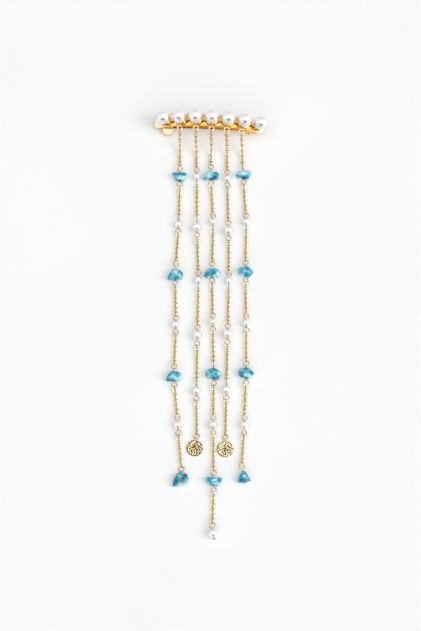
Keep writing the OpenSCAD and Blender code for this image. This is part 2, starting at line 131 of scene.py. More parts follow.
# Finishes
class Field:
    """A value that varies over a surface. Arithmetic on it adds Math nodes."""

    def __init__(self, finish, socket):
        self.finish, self.socket = finish, socket

    def math(self, operation, first, second):
        return self.finish.field("Math", {"operation": operation}, {0: first, 1: second})

    def __add__(self, other):
        return self.math("ADD", self, other)

    def __radd__(self, other):
        return self.math("ADD", other, self)

    def __sub__(self, other):
        return self.math("SUBTRACT", self, other)

    def __rsub__(self, other):
        return self.math("SUBTRACT", other, self)

    def __mul__(self, other):
        return self.math("MULTIPLY", self, other)

    def __rmul__(self, other):
        return self.math("MULTIPLY", other, self)


class Web:
    """The nodes of one material, or of the air."""

    def __init__(self, tree):
        self.tree = tree

    def node(self, kind, settings=None, inputs=None):
        made = self.tree.nodes.new("ShaderNode" + kind)
        for key, value in (settings or {}).items():
            if key == "stops":
                ramp = made.color_ramp.elements
                while len(ramp) < len(value):
                    ramp.new(0.5)
                for stop, (place, colour) in zip(ramp, value):
                    stop.position, stop.color = place, (*colour, 1)
            else:
                setattr(made, key, value)
        for key, value in (inputs or {}).items():
            if isinstance(value, Field):
                self.tree.links.new(value.socket, made.inputs[key])
            else:
                made.inputs[key].default_value = value
        return made

    def field(self, kind, settings=None, inputs=None, output=0):
        return Field(self, self.node(kind, settings, inputs).outputs[output])

    def places(self):
        return self.field("TexCoord", output="Object")

    def noise(self, scale, detail, roughness=0.5):
        return self.field("TexNoise", None,
            {"Vector": self.places(), "Scale": scale, "Detail": detail, "Roughness": roughness}, "Fac")

    def ramp(self, amount, stops):
        return self.field("ValToRGB", {"stops": stops}, {"Fac": amount})

    def blend(self, amount, first, second):
        return self.field("Mix", {"data_type": "RGBA"}, {"Factor": amount, 6: first, 7: second}, 2)


class Finish(Web):
    """A material with one Principled shader, whose constants are set on its own sockets."""

    def __init__(self, name, **constants):
        self.material = bpy.data.materials.new(name)
        self.material.use_nodes = True
        super().__init__(self.material.node_tree)
        self.shader = self.tree.nodes["Principled BSDF"]
        for socket, value in constants.items():
            self.shader.inputs[socket.replace("_", " ")].default_value = value

    def drive(self, socket, value):
        self.tree.links.new(value.socket, self.shader.inputs[socket])

    def bump(self, height, distance):
        self.drive("Normal", self.field("Bump", None, {"Height": height, "Distance": distance}))


# Names of what is stored on a mesh's points: how much painted shade or painted highlight, how high on a
# ridge, how pale a stone
PAINTED_LIGHT, RELIEF, TONE = "hollow", "relief", "tone"
# On gold, under 0 is a painted highlight, at 0 only the painted light by facing, at DEEP deep gold and at 1
# brown, both painted shade
DEEP = 0.4
BLACK, WHITE = (0, 0, 0), (1, 1, 1)


def stored(made, name):
    return made.field("Attribute", {"attribute_name": name}, output="Fac")


def gold(name, deep, pale, brown, wave):
    """Plated metal with painted light: pale where it faces up, a painted highlight, and deep down its
    sides, painted shade, then more painted shade or highlight by the stored value. Colour and gloss drift a
    little, and the surface has a faint hand-polished wave."""
    made = Finish(name, Metallic=1.0)
    upward = made.field("SeparateXYZ", None, {0: made.field("TexCoord", output="Normal")}, "Z")
    # Painted light by facing: pale on top as a painted highlight and deep on the sides as painted shade
    worn = made.ramp(upward + 0.4 * made.noise(420, 2) - 0.2, [(0.3, deep), (0.95, pale)])
    # The stored value adds painted shade, deep gold then brown, or below 0 a painted highlight
    hollow = stored(made, PAINTED_LIGHT)
    shade_share = made.ramp(hollow, [(0, BLACK), (DEEP, WHITE)])
    shade_colour = made.ramp(hollow, [(DEEP, deep), (1, brown)])
    painted_highlight = made.ramp(0 - hollow, [(0, BLACK), (1, WHITE)])
    made.drive("Base Color", made.blend(painted_highlight, made.blend(shade_share, worn, shade_colour), (*HIGHLIGHT_GOLD, 1)))
    made.drive("Roughness", 0.10 + 0.08 * made.noise(1900, 4, 0.6))
    made.bump(made.noise(900, 2), wave)
    return made


def pearl_finish(name, face, cloud_tint, patch):
    """A coated bead: half mirror and half milk, with a cooler edge and faint rosy clouds."""
    made = Finish(name, Metallic=0.72, Coat_Weight=0.3, Coat_Roughness=0.12, Coat_IOR=1.5)
    facing = made.field("LayerWeight", None, {"Blend": 0.4}, "Facing")
    shade = made.ramp(facing, [(0.1, face), (0.5, (0.875, 0.86, 0.855)), (0.9, (0.86, 0.88, 0.88))])
    made.drive("Base Color", made.blend(0.5 * made.noise(patch, 3), shade, (*cloud_tint, 1)))
    made.drive("Roughness", 0.20 + 0.06 * made.noise(2600, 3))
    made.bump(made.noise(1500, 3), 0.000005)
    return made


def stone_finish():
    """Blue-green stone: cloudy colour, dark veins, painted shade in its pits and drilled ends, and a waxy
    gloss.
    """
    made = Finish("turquoise_stone", Coat_Weight=0.2, Coat_Roughness=0.12, Specular_IOR_Level=0.3)
    cloud = made.ramp(made.noise(230, 3, 0.55) + stored(made, TONE), [(0.30, (0.003, 0.06, 0.10)),
        (0.41, (0.012, 0.24, 0.38)), (0.51, (0.10, 0.50, 0.64)), (0.60, (0.56, 0.86, 0.94))])
    veins = made.field("TexVoronoi", {"feature": "DISTANCE_TO_EDGE"},
        {"Vector": made.places(), "Scale": 330.0}, "Distance")
    line = made.ramp(veins + 0.16 * made.noise(700, 3), [(0.075, WHITE), (0.115, BLACK)])
    speck = made.ramp(made.noise(1500, 2), [(0.66, BLACK), (0.72, WHITE)])
    veined = made.blend(0.6 * line, cloud, (0.012, 0.07, 0.10, 1))
    specked = made.blend(0.5 * speck, veined, (0.015, 0.08, 0.11, 1))
    # Painted shade, near black, in the pits and down the drilled hole
    hollow = stored(made, PAINTED_LIGHT)
    made.drive("Base Color", made.blend(hollow, specked, (0.008, 0.012, 0.012, 1)))
    made.drive("Roughness", 0.20 + 0.22 * made.noise(900, 4) + 0.4 * hollow)
    made.bump(made.noise(1300, 4, 0.6) - 0.5 * line, 0.00006)
    return made


def disc_finish():
    """Pale gold on the ridges of a disc, dark brown in its hollows."""
    made = Finish("textured_gold", Metallic=1.0)
    uneven = stored(made, RELIEF) + 0.3 * made.noise(1600, 3) - 0.15
    made.drive("Base Color", made.ramp(uneven, [(0.18, (0.040, 0.020, 0.006)),
        (0.42, (0.26, 0.16, 0.06)), (0.66, (0.88, 0.67, 0.36)), (0.9, (1, 0.91, 0.68))]))
    made.drive("Roughness", 0.24 + 0.16 * made.noise(2400, 4))
    made.bump(made.noise(2600, 3), 0.00002)
    return made


# The pale gold of the strongest painted highlight, then the golds: deep for painted shade on sides, pale
# for painted highlight on tops, brown for painted shade in corners
HIGHLIGHT_GOLD = (0.94, 0.84, 0.67)
CLIP_GOLD = gold("clip_gold", (0.92, 0.56, 0.15), (1.0, 0.76, 0.42), (0.11, 0.035, 0.002), 0.00001)
WIRE_GOLD = gold("wire_gold", (0.13, 0.07, 0.015), (0.60, 0.42, 0.17), (0.1, 0.05, 0.01), 0.000008)
CHAIN_GOLD = gold("chain_gold", (0.92, 0.64, 0.21), (1.0, 0.93, 0.66), (0.10, 0.055, 0.010), 0.000008)
DISC_GOLD = disc_finish()
CLIP_PEARL = pearl_finish("clip_pearl", (0.865, 0.85, 0.86), (0.865, 0.79, 0.835), 160)
STRAND_PEARL = pearl_finish("strand_pearl", (0.92, 0.90, 0.88), (0.90, 0.845, 0.81), 220)
STONE = stone_finish()


# Pieces
# Edges that turn more than this are softened, and on a finished piece stay crisp above the other
CRISP, STAY_CRISP = 0.6, math.radians(40)
EDGE_R = 0.1


def piece(name, mesh, finish, body=STRAND_BODY, stands_for=()):
    """A new piece of the object, in its place, riding on a body."""
    if isinstance(mesh, bmesh.types.BMesh):
        shape = mesh
        mesh = bpy.data.meshes.new(name)
        shape.to_mesh(mesh)
        shape.free()
    mesh.materials.clear()
    mesh.materials.append(finish.material)
    mesh.shade_smooth()
    made = bpy.data.objects.new(name, mesh)
    bpy.context.scene.collection.objects.link(made)
    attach(made, body)
    if stands_for:
        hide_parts(*stands_for)
    return made


def with_modifiers(mesh, *modifiers):
    """The mesh that a copy has after these modifiers: each is its kind and its settings."""
    held = bpy.data.objects.new("held", mesh)
    bpy.context.scene.collection.objects.link(held)
    for kind, settings in modifiers:
        modifier = held.modifiers.new(kind.lower(), kind)
        for key, value in settings.items():
            setattr(modifier, key, value)
    made = bpy.data.meshes.new_from_object(held.evaluated_get(bpy.context.evaluated_depsgraph_get()))
    bpy.data.objects.remove(held)
    return made


def store(shape, name, value):
    """The same value on every point of a shape."""
    layer = shape.verts.layers.float.new(name)
    for vert in shape.verts:
        vert[layer] = value


def ring(shape, radius, wire_r, place, held):
    """A ring of wire round its own Z axis, then put in its place, holding a name and its value."""
    made = bmesh.new()
    start = Matrix.Translation((radius, 0, 0)) @ Matrix.Rotation(math.pi / 2, 4, "X")
    bmesh.ops.create_circle(made, segments=12, radius=wire_r, matrix=start)
    bmesh.ops.spin(made, geom=made.verts[:] + made.edges[:], axis=(0, 0, 1), angle=2 * math.pi,
        steps=40, use_merge=True)
    bmesh.ops.remove_doubles(made, verts=made.verts, dist=0.0001)
    bmesh.ops.transform(made, matrix=place, verts=made.verts)
    store(made, *held)
    add(shape, made)


def block(shape, size, place, round_edges=None, edge_r=EDGE_R, round_r=0.0, held=None):
    """A block with its middle at the origin, then put in its place. The edges that round_edges
    picks are rounded wide, and then all the others are softened."""
    made = bmesh.new()
    bmesh.ops.create_cube(made, size=1, matrix=Matrix.Diagonal((*size, 1)))
    if round_r:
        picked = [edge for edge in made.edges if round_edges(*(vert.co for vert in edge.verts))]
        bmesh.ops.bevel(made, geom=picked, offset=round_r, affect="EDGES", segments=10, profile=0.5,
            material=-1, clamp_overlap=True)
    sharp = [edge for edge in made.edges if edge.calc_face_angle(0) > CRISP]
    bmesh.ops.bevel(made, geom=sharp, offset=edge_r, affect="EDGES", segments=3, profile=0.5,
        material=-1, clamp_overlap=True)
    bmesh.ops.transform(made, matrix=place, verts=made.verts)
    if held:
        store(made, *held)
    add(shape, made)


def add(shape, other):
    """Another shape goes into this one."""
    held = bpy.data.meshes.new("held")
    other.to_mesh(held)
    other.free()
    shape.from_mesh(held)
    bpy.data.meshes.remove(held)


# The clip: its plate, cups, loops, walls and tabs, with the soft edges of pressed metal
ON_CLIP = Matrix.Scale(MM, 4) @ Matrix.Translation((CLIP_X, CLIP_Y, 0)) @ Matrix.Rotation(CLIP_TURN, 4, "Z")


def on_curve(x, r):
    """Height over the table of a curve of radius r about the middle of the plate's curve."""
    return CURVE_Z + math.sqrt(r * r - x * x)


def at_cup(i):
    """The place of a pearl's middle, turned as its cup leans on the curve."""
    turn = (i - CUP_COUNT // 2) * CUP_PITCH / CUP_ROW_R
    return (Matrix.Translation((0, 0, CURVE_Z)) @ Matrix.Rotation(turn, 4, "Y")
        @ Matrix.Translation((0, 0, CUP_ROW_R)))


STRIP_CELLS, STRIP_ROWS = 150, 20


def strip(shape, left, right, width, thick, corners, bend, paint_light_at, crown=0.0, taper=None):
    """A strip from x = left to x = right, its ends' corners rounded, its edges soft, its top a
    little domed, bent down over a curve: bend is the curve's radius and its middle's x and z."""
    bend_r, bend_x, bend_z = bend
    made = bmesh.new()
    size = Matrix.Diagonal((right - left, width, thick, 1))
    bmesh.ops.create_cube(made, size=1, matrix=Matrix.Translation(((left + right) / 2, 0, 0)) @ size)
    for end, corner in zip((left, right), corners):
        picked = [edge for edge in made.edges
            if all(abs(vert.co.x - end) < 0.001 for vert in edge.verts)
            and abs(edge.verts[0].co.z - edge.verts[1].co.z) > thick / 2]
        bmesh.ops.bevel(made, geom=picked, offset=corner, affect="EDGES", segments=10, profile=0.5,
            material=-1, clamp_overlap=True)
    sharp = [edge for edge in made.edges if edge.calc_face_angle(0) > CRISP]
    bmesh.ops.bevel(made, geom=sharp, offset=thick * 0.3, affect="EDGES", segments=3, profile=0.5,
        material=-1, clamp_overlap=True)
    cuts = [((left + (right - left) * i / STRIP_CELLS, 0, 0), (1, 0, 0)) for i in range(1, STRIP_CELLS)]
    half = STRIP_ROWS // 2
    cuts += [((0, width * side / STRIP_ROWS, 0), (0, 1, 0)) for side in range(1 - half, half)]
    for spot, way_across in cuts:
        bmesh.ops.bisect_plane(made, geom=made.verts[:] + made.edges[:] + made.faces[:],
            plane_co=spot, plane_no=way_across, dist=0.0001)
    layer = made.verts.layers.float.new(PAINTED_LIGHT)
    for vert in made.verts:
        x, y, z = vert.co
        if taper:
            y *= taper(x)
        # Each point keeps its painted shade or painted highlight for the finish
        vert[layer] = paint_light_at(x, y, z)
        if z > 0:
            z -= crown * (2 * y / width) ** 2
        vert.co = (x, y, bend_z + math.sqrt((bend_r + z) ** 2 - (x - bend_x) ** 2))
    add(shape, made)


# Painted light on the plate: a painted highlight from PALE_FROM out to its ends, painted shade as deep gold
# in front of FRONT_EDGE_Y, and brown painted shade in the corners between two cups, this far aside and to
# the front and back of CORNER_Y
PALE_FROM, PALE_FADE_LEFT, PALE_FADE_RIGHT = 22.5, 6, 4
FRONT_EDGE_Y = -2.75
CORNER_Y, CORNER_SIDE, CORNER_FRONT, CORNER_BACK = -0.95, 2.4, 0.8, 1.1
CORNER_SHADE, SHADE_BEHIND_CUPS = 1.6, 0.54
# The arm's painted shade, brown on its edges and a little deeper gold on its face, and the painted
# highlight on the tabs and loops
ARM_EDGE_W, ARM_SHADE = 0.35, 0.2
TAB_HIGHLIGHT, LOOP_HIGHLIGHT = -0.35, -0.3


def plate_painted_light(x, y, z):
    """Painted light on the plate: painted shade in the corners between cups, behind them and along its
    front edge, and a painted highlight at its ends.
    """
    if z < 0:
        return 0
    painted_highlight = max((-PALE_FROM - x) / PALE_FADE_LEFT, (x - PALE_FROM) / PALE_FADE_RIGHT)
    if painted_highlight > 0:
        return -min(1, painted_highlight)
    most = DEEP if y < FRONT_EDGE_Y else 0
    half_y = CORNER_BACK if y > CORNER_Y else CORNER_FRONT
    for i in range(CUP_COUNT - 1):
        between_cups = (i - CUP_COUNT / 2 + 1) * CUP_PITCH * PLATE_R / CUP_ROW_R
        beside = abs(x - between_cups) / CORNER_SIDE
        if beside < 1:
            behind = SHADE_BEHIND_CUPS if y > CORNER_Y else 0
            corner = min(1, CORNER_SHADE * (1 - math.hypot(beside, (y - CORNER_Y) / half_y)))
            most = max(most, behind, corner)
    return most


def arm_painted_shade(x, y, z):
    """Painted shade on the spring arm: brown along its cut edges and a little deeper gold on its face."""
    return 1 if abs(y) > ARM_W / 2 - ARM_EDGE_W else ARM_SHADE


def cup(shape, place):
    """A round cup that holds the lower part of a pearl."""
    made = bmesh.new()
    bmesh.ops.create_uvsphere(made, u_segments=48, v_segments=32, radius=CUP_R)
    bmesh.ops.bisect_plane(made, geom=made.verts[:] + made.edges[:] + made.faces[:],
        plane_co=(0, 0, -CUP_RIM_DROP), plane_no=(0, 0, 1), clear_outer=True)
    bmesh.ops.solidify(made, geom=made.faces[:], thickness=CUP_T)
    rim = [edge for edge in made.edges if edge.calc_face_angle(0) > CRISP]
    bmesh.ops.bevel(made, geom=rim, offset=CUP_T * 0.3, affect="EDGES", segments=2, profile=0.5,
        material=-1, clamp_overlap=True)
    bmesh.ops.transform(made, matrix=place, verts=made.verts)
    add(shape, made)


def wall(shape, x, foot_r, y):
    """A wall under the plate with a round foot on the table."""
    top = on_curve(abs(x) + foot_r, PLATE_R)
    made = bmesh.new()
    block(made, (2 * foot_r, WALL_T, top), Matrix.Translation((x, y, top / 2)), round_r=foot_r * 0.99,
        round_edges=lambda a, b: a.z < 0 and b.z < 0 and abs(a.y - b.y) > WALL_T / 2)
    for vert in made.verts:
        if vert.co.z > top - 1.1 * EDGE_R:
            vert.co.z += on_curve(vert.co.x, PLATE_R) - top
    add(shape, made)


def tab(shape, side):
    """One of the catch's two tabs, which are squeezed to let the arm go."""
    lean = Matrix.Translation((CATCH_X, side * (PLATE_W - WALL_T) / 2, TAB_Z)) @ Matrix.Rotation(
        -side * TAB_FALL, 4, "X")
    # The tab carries a painted highlight
    block(shape, (2 * TAB_R, TAB_REACH, WALL_T), lean @ Matrix.Translation((0, side * TAB_REACH / 2, 0)),
        edge_r=0.14, round_r=TAB_R * 0.96, held=(PAINTED_LIGHT, TAB_HIGHLIGHT),
        round_edges=lambda a, b: a.y * side > 0 and b.y * side > 0 and abs(a.z - b.z) > WALL_T / 2)


def cup_loop(shape, i, fan):
    """The flat loop before a cup that a strand hangs from, and the neck that joins it to the cup."""
    place = at_cup(i) @ Matrix.Rotation(math.radians(fan), 4, "Z") @ Matrix.Translation((0, 0, -LOOP_DROP))
    middle, wire = (LOOP_R + LOOP_HOLE_R) / 2, (LOOP_R - LOOP_HOLE_R) / 2
    flat = Matrix.Diagonal((1, 1, LOOP_T / 2 / wire, 1))
    # The loop carries a painted highlight
    ring(shape, middle, wire, place @ Matrix.Translation((0, -LOOP_REACH, 0)) @ flat, (PAINTED_LIGHT, LOOP_HIGHLIGHT))
    near, far = -LOOP_REACH + LOOP_HOLE_R + 0.1, -math.sqrt(CUP_R ** 2 - LOOP_DROP ** 2) + CUP_T / 2
    block(shape, (LOOP_NECK_W, far - near, LOOP_T), place @ Matrix.Translation((0, (near + far) / 2, 0)),
        edge_r=0.15)


def clip_body():
    """The plate and all that is folded from it or soldered to it."""
    shape = bmesh.new()
    shape.verts.layers.float.new(PAINTED_LIGHT)
    strip(shape, -PLATE_LEFT, PLATE_RIGHT, PLATE_W, PLATE_T, (CATCH_CORNER, HINGE_CORNER * 0.99),
        (PLATE_R, 0, CURVE_Z), plate_painted_light, crown=0.25)
    for i in range(CUP_COUNT):
        cup(shape, at_cup(i))
        foot = at_cup(i) @ Matrix.Translation((0, 0, PLATE_R + PLATE_T / 2 - CUP_ROW_R))
        bmesh.ops.create_cone(shape, cap_ends=True, segments=32, radius1=CUP_FOOT_R,
            radius2=CUP_FOOT_R, depth=PLATE_T * 0.6, matrix=foot)
    for s, fan in enumerate(LOOP_FANS):
        cup_loop(shape, s + 1, fan)
    for side in (-1, 1):
        wall(shape, HINGE_X, HINGE_Z, side * (EAR_W - WALL_T) / 2)
        wall(shape, CATCH_X, CATCH_R, side * (PLATE_W - WALL_T) / 2)
        tab(shape, side)
        bump = Matrix.Translation((CATCH_X, side * (PLATE_W / 2 - WALL_T), DETENT_Z))
        bmesh.ops.create_cone(shape, cap_ends=True, segments=16, radius1=DETENT_R, radius2=DETENT_R,
            depth=DETENT_L, matrix=bump @ Matrix.Rotation(math.pi / 2, 4, "Y"))
    bmesh.ops.transform(shape, matrix=ON_CLIP, verts=shape.verts)
    bmesh.ops.recalc_face_normals(shape, faces=shape.faces)
    made = piece("clip_pressed_plate", shape, CLIP_GOLD, stands_for=["clip_plate"])
    made.data.set_sharp_from_angle(angle=STAY_CRISP)


def clip_arm():
    """The bar under the plate that holds the hair, curled round the hinge pin."""
    shape = bmesh.new()
    shape.verts.layers.float.new(PAINTED_LIGHT)
    end_x = CATCH_X - ARM_PAST_CATCH
    narrow = (1 - BARREL_W / ARM_W) / (HINGE_X - end_x)
    bend = (ARM_R, (HINGE_X + CATCH_X) / 2, ARM_MID_Z - ARM_R)
    strip(shape, end_x, HINGE_X, ARM_W, ARM_T, (ARM_CORNER, 0.1), bend, arm_painted_shade,
        taper=lambda x: 1 - narrow * (x - end_x))
    curl = Matrix.Translation((HINGE_X, 0, HINGE_Z)) @ Matrix.Rotation(math.pi / 2, 4, "X")
    bmesh.ops.create_cone(shape, cap_ends=True, segments=40, radius1=BARREL_R, radius2=BARREL_R,
        depth=BARREL_W, matrix=curl)
    bmesh.ops.transform(shape, matrix=ON_CLIP, verts=shape.verts)
    bmesh.ops.recalc_face_normals(shape, faces=shape.faces)
    made = piece("clip_spring_arm", shape, CLIP_GOLD, ARM_BODY, ["clip_arm"])
    made.data.set_sharp_from_angle(angle=STAY_CRISP)


# Where things are on the strands
def kind_of(s, k):
    return STRANDS[s][k][KIND]


def last(s):
    return len(STRANDS[s]) - 1


def at(s, k):
    return Vector((CLIP_X + STRANDS[s][k][RIGHT], CLIP_Y - STRANDS[s][k][DOWN]))


def loop_at(s):
    """The middle of the loop that a strand hangs from."""
    a, r = (s + 1 - CUP_COUNT // 2) * CUP_PITCH / CUP_ROW_R, CUP_ROW_R - LOOP_DROP
    fan = math.radians(LOOP_FANS[s])
    side = LOOP_REACH * math.sin(fan)
    local = Vector((r * math.sin(a) + side * math.cos(a), -LOOP_REACH * math.cos(fan),
        CURVE_Z + r * math.cos(a) - side * math.sin(a)))
    return Matrix.Rotation(CLIP_TURN, 3, "Z") @ local + Vector((CLIP_X, CLIP_Y, 0))


def way(s, k):
    """The way that a bead's pin runs, from the clip down."""
    ahead = at(s, k) if k == last(s) else at(s, k + 1)
    behind = loop_at(s).xy if k == 0 else at(s, k - 1)
    return Matrix.Rotation(math.radians(STRANDS[s][k][TWIST]), 2) @ (ahead - behind).normalized()


def half_and_height(s, k):
    """Half the length of a bead along its strand, and the height of its middle."""
    kind, size = kind_of(s, k), STRANDS[s][k][SIZE]
    if kind == "pearl":
        return size / 2, size / 2
    if kind == "chip":
        return CHIP_SIZES[size][0] / 2, CHIP_SIZES[size][1] / 2
    return DISC_D / 2, BAIL_R


def eye_at(s, k, side):
    """The middle of the eye above a bead, with side -1, or below it, with side 1."""
    if side < 0 and s == BENT_STRAND and k == last(s):
        return BENT_EYE.copy()
    half, height = half_and_height(s, k)
    step = RING_STEP if kind_of(s, k) == "disc" else half + EYE_NECK + EYE_R
    place = at(s, k) + side * step * way(s, k)
    return Vector((*place, height))


# Chain: links of bent wire, each turned a quarter against the one before
LINK_WIRE_R, LINK_R, LINK_STRETCH, LINK_PITCH = 0.25, 0.93, 0.045, 1.45
LINK_SIDES, LINK_WIRE_SIDES = 14, 6
HOOK = LINK_R + LINK_STRETCH - LINK_WIRE_R
# How links lie: a flat one's sag, a stretch's least and most twist and the turns of it, the roll and
# place of each, how far each side of a link the chain's way is taken, and the room under it
FLAT_LINK_SAG = 0.26
TWISTS, TWIST_TURNS = (6, 20), (0.6, 1.6)
ROLL_STRAY, LINK_STRAY = 8, 0.05
WAY_REACH, EASE_REACH = 0.6, 0.9
FLOOR_ROOM = 0.02
# How much painted shade a link gets when it stands on edge
EDGE_ON_SHADE = 0.74


def link_shape():
    """A ring drawn a little long, with painted shade in brown on its inner side, deepest at its two ends.
    """
    shape = bmesh.new()
    across = Matrix.Translation((LINK_R * MM, 0, 0)) @ Matrix.Rotation(math.pi / 2, 4, "X")
    bmesh.ops.create_circle(shape, segments=LINK_WIRE_SIDES, radius=LINK_WIRE_R * MM, matrix=across)
    bmesh.ops.spin(shape, geom=shape.verts[:] + shape.edges[:], axis=(0, 0, 1),
        angle=2 * math.pi, steps=LINK_SIDES, use_merge=True)
    hollow = shape.verts.layers.float.new(PAINTED_LIGHT)
    for vert in shape.verts:
        out = vert.co.xy.length
        inside = (LINK_R * MM - out) / (LINK_WIRE_R * MM)
        vert[hollow] = min(1, max(0, 2 * inside)) * (0.6 + 0.4 * abs(vert.co.y) / out)
        if abs(vert.co.y) > 0.01 * MM:
            vert.co.y += math.copysign(LINK_STRETCH * MM, vert.co.y)
    bmesh.ops.remove_doubles(shape, verts=shape.verts, dist=0.001 * MM)
    bmesh.ops.recalc_face_normals(shape, faces=shape.faces)
    mesh = bpy.data.meshes.new("link")
    shape.to_mesh(mesh)
    shape.free()
    return mesh


LINK = link_shape()


class Route:
    """A line through points, walked by distance, and how far along it the first link's middle is."""

    def __init__(self, points, first_hook):
        self.points, self.first_hook = points, first_hook
        self.marks = [0.0]
        for a, b in zip(points, points[1:]):
            self.marks.append(self.marks[-1] + (b - a).length)

    def point(self, far):
        for i in range(len(self.points) - 1):
            if far <= self.marks[i + 1] or i == len(self.points) - 2:
                share = (far - self.marks[i]) / (self.marks[i + 1] - self.marks[i])
                return self.points[i].lerp(self.points[i + 1], share)

    def eased(self, far):
        return (self.point(far - EASE_REACH) + 2 * self.point(far) + self.point(far + EASE_REACH)) / 4


def stretch_of_links(shape, route):
    """Links along a route from the wire that holds the first to the wire that holds the last. They
    lie flat and on edge by turns, and the chain twists a little. Those on edge are painted darker: painted
    shade."""
    first, length = route.first_hook, route.marks[-1] - HOOK + WIRE_R
    count = math.ceil((length - first) / LINK_PITCH)
    pitch = (length - first) / count
    start, most = rng.choice((0, 90)), rng.uniform(*TWISTS)
    turns, phase = rng.uniform(*TWIST_TURNS), rng.uniform(0, 2 * math.pi)
    hollow = shape.verts.layers.float[PAINTED_LIGHT]
    for i in range(count + 1):
        far = first + i * pitch
        here = route.eased(far)
        run = (route.eased(far + WAY_REACH) - route.eased(far - WAY_REACH)).normalized()
        twist = most * math.sin(2 * math.pi * turns * i / count + phase)
        roll = start + 90 * i + twist + rng.uniform(-ROLL_STRAY, ROLL_STRAY)
        flatness = math.cos(math.radians(roll)) ** 2
        if 0 < i < count:
            here.z -= FLAT_LINK_SAG * flatness
            here += LINK_STRAY * Vector((rng.uniform(-1, 1), rng.uniform(-0.5, 0.5), 0))
        here.z = max(here.z, LINK_R * math.sqrt(1 - flatness) + LINK_WIRE_R + FLOOR_ROOM)
        across = Vector((-run.y, run.x, 0)).normalized()
        up = across.cross(run)
        turn = Matrix((across, run, -up)).transposed().to_4x4()
        place = Matrix.Translation(here * MM) @ turn @ Matrix.Rotation(math.radians(roll), 4, "Y")
        before = len(shape.verts)
        shape.from_mesh(LINK)
        shape.verts.ensure_lookup_table()
        bmesh.ops.transform(shape, matrix=place, verts=shape.verts[before:])
        for vert in shape.verts[before:]:
            vert[hollow] = max(vert[hollow], EDGE_ON_SHADE * (1 - flatness) ** 2)


def route_above(s, k):
    """The middle line of the chain above bead k, from the wire of one eye to that of the next."""
    end = eye_at(s, k, -1)
    start = loop_at(s) if k == 0 else eye_at(s, k - 1, 1)
    run = (end - start).xy.normalized().to_3d()
    wire_end = end - (EYE_R - WIRE_R) * run
    low_end = max(CHAIN_LOW, end.z - EYE_DROP)
    tube_end = (end - (EYE_R + TOUCH_GAP) * run).xy
    if k == 0:
        wire_start = start + (LOOP_R + LOOP_HOLE_R) / 2 * run
        hook = HOOK - (LOOP_R - LOOP_HOLE_R) / 2
        points = [wire_start]
        for far, share in CHAIN_FALL:
            fallen = start + far * run
            points.append(Vector((*fallen.xy, CHAIN_LOW + (start.z - CHAIN_LOW) * share)))
    else:
        wire_start = start + (EYE_R - WIRE_R) * run
        hook = HOOK - WIRE_R
        tube_start = (start + (EYE_R + TOUCH_GAP) * run).xy
        points = [wire_start, Vector((*tube_start, max(CHAIN_LOW, start.z - EYE_DROP)))]
        for share in CHAIN_LEVEL:
            points.append(Vector((*tube_start.lerp(tube_end, share), CHAIN_LOW)))
    return Route(points + [Vector((*tube_end, low_end)), wire_end], hook)


def chain(s):
    """All the links of one strand."""
    shape = bmesh.new()
    shape.verts.layers.float.new(PAINTED_LIGHT)
    for k in range(last(s) + 1):
        stretch_of_links(shape, route_above(s, k))
    name = f"strand_{s + 1}"
    piece(name + "_links", shape, CHAIN_GOLD, stands_for=[name + "_chain"])


# Stone chips: the CAD shape worn round, with small pits and a dished rim round the hole
GRAIN, WEAR_ROUNDS, SWELL = 0.17 * MM, 6, 0.12
PITS, PIT_SIZE, PIT_DEEP, PIT_DARK = 5, (0.3, 0.6), 0.5, 0.6
HOLE_R, HOLE_DEEP, HOLE_DARK = 1.0, 0.5, 2.2
# Waves of the surface, each with its depth and how fine it is, and how far apart the stones' waves are
DENTS = [(0.07, 0.9), (0.05, 2.7)]
APART_X, APART_Y = 7.3, 3.1
TONE_STEP = 0.045


def drill_line(s, k):
    """A point on the line of the hole through a stone, and the way it runs."""
    if s == BENT_STRAND and k == last(s):
        return BENT_HEAD, (BENT_HEAD - BENT_TURN).normalized()
    return Vector((*at(s, k), half_and_height(s, k)[1])), way(s, k).to_3d()


def worn_chip(node):
    """A copy of a chip with its corners worn round."""
    shape = bmesh.new()
    shape.from_mesh(NODES[node].data)
    bmesh.ops.remove_doubles(shape, verts=shape.verts, dist=0.002 * MM)
    rough = bpy.data.meshes.new("rough")
    shape.to_mesh(rough)
    shape.free()
    worn = with_modifiers(rough,
        ("REMESH", {"mode": "VOXEL", "voxel_size": GRAIN, "use_smooth_shade": True}),
        ("SMOOTH", {"factor": 0.5, "iterations": WEAR_ROUNDS}))
    shape = bmesh.new()
    shape.from_mesh(worn)
    return shape


def pits_on(shape, middle):
    """The places of a stone's pits, on its sides and top, and how wide each is."""
    pits = []
    for _ in range(PITS):
        out = Vector((rng.uniform(-1, 1), rng.uniform(-1, 1), rng.uniform(0.1, 1))).normalized()
        far = max(shape.verts, key=lambda v: (v.co - middle).normalized().dot(out))
        pits.append((far.co.copy(), rng.uniform(*PIT_SIZE) * MM))
    return pits


